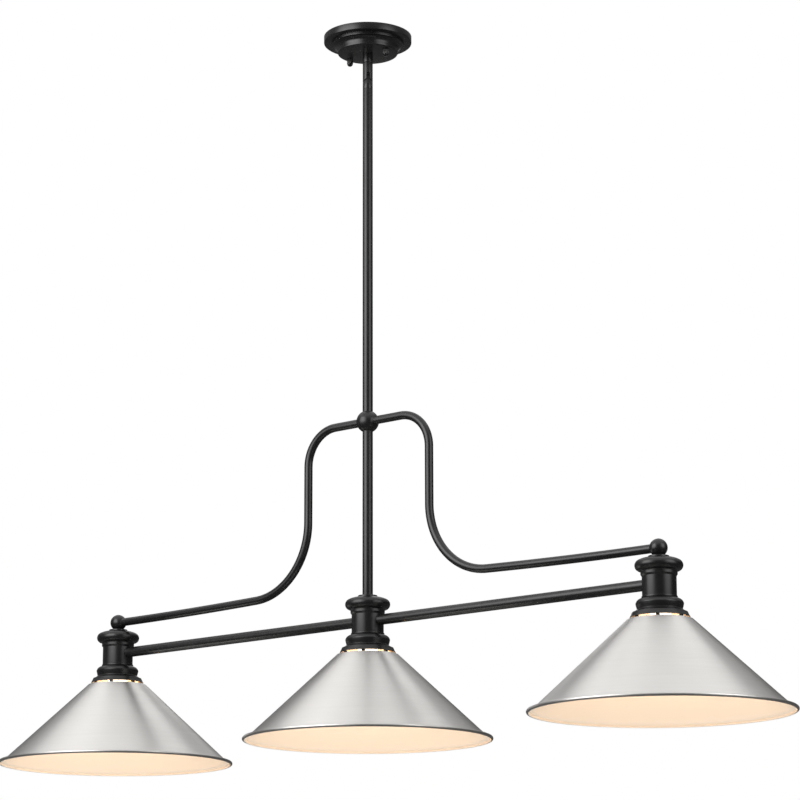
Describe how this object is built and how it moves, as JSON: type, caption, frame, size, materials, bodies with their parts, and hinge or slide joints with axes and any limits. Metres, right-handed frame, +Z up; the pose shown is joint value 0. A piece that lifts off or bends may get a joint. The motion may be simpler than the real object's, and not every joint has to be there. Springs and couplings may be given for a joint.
{
  "type": "linear island pendant",
  "caption": "Linear island pendant: ceiling canopy, hang-straight stem, bent arms and level bars that carry a row of conical shades over a long counter.",
  "frame": {"origin": "centre of the ceiling face, at the top of the crossbar and the canopy's rim", "axes": "+Z up to the ceiling, +X along the bars, +Y across them"},
  "size_m": [1.3659, 0.356, 1.054],
  "materials": {
    "black_metal": "satin black powder coat",
    "nickel_shade": "spun and brushed nickel outside, cream enamel inside",
    "zinc_steel": "zinc plated",
    "brass": "plain machined",
    "green_screw": "green lacquer",
    "socket_body": "glazed white insulator",
    "lamp_aluminium": "rolled thread",
    "lamp_glass": "frosted inside"
  },
  "bodies": {
    "canopy": {"crossbar": "zinc_steel", "ground_screw": "green_screw", "canopy_studs": "zinc_steel", "stud_nuts": "zinc_steel", "canopy": "black_metal", "cap_nuts": "black_metal", "canopy_washer": "zinc_steel", "canopy_nut": "brass", "canopy_tube": "zinc_steel", "stem_collar": "black_metal"},
    "swivel": {"swivel_barrel": "black_metal", "swivel_bush": "brass", "swivel_pin": "zinc_steel"},
    "fixture": {"swivel_tongue": "black_metal", "upper_rod": "black_metal", "lower_rod": "black_metal", "centre_ball": "black_metal", "left_end_ball": "black_metal", "right_end_ball": "black_metal", "left_arm": "black_metal", "right_arm": "black_metal", "left_bar": "black_metal", "right_bar": "black_metal", "bar_studs": "zinc_steel", "bar_nuts": "brass", "head_washers": "black_metal", "head_lock_nuts": "brass", "left_housing": "black_metal", "left_head_tube": "zinc_steel", "left_holder": "black_metal", "left_vent_collar": "black_metal", "left_ring_nut": "black_metal", "left_shade": "nickel_shade", "left_socket": "socket_body", "left_screw_shell": "brass", "left_centre_contact": "brass", "left_lamp_base": "lamp_aluminium", "left_lamp_glass": "lamp_glass", "centre_housing": "black_metal", "centre_head_tube": "zinc_steel", "centre_holder": "black_metal", "centre_vent_collar": "black_metal", "centre_ring_nut": "black_metal", "centre_shade": "nickel_shade", "centre_socket": "socket_body", "centre_screw_shell": "brass", "centre_centre_contact": "brass", "centre_lamp_base": "lamp_aluminium", "centre_lamp_glass": "lamp_glass", "right_housing": "black_metal", "right_head_tube": "zinc_steel", "right_holder": "black_metal", "right_vent_collar": "black_metal", "right_ring_nut": "black_metal", "right_shade": "nickel_shade", "right_socket": "socket_body", "right_screw_shell": "brass", "right_centre_contact": "brass", "right_lamp_base": "lamp_aluminium", "right_lamp_glass": "lamp_glass"}
  },
  "joints": [
    {"name": "stem_turn", "type": "hinge", "parent": "canopy", "child": "swivel", "pos_m": [0, 0, -0.0413], "axis": [0, 0, 1], "range_deg": [-175, 175]},
    {"name": "hang_straight_tilt", "type": "hinge", "parent": "swivel", "child": "fixture", "pos_m": [0, 0, -0.06355], "axis": [0.7071, 0.7071, 0], "range_deg": [-45, 45]}
  ]
}
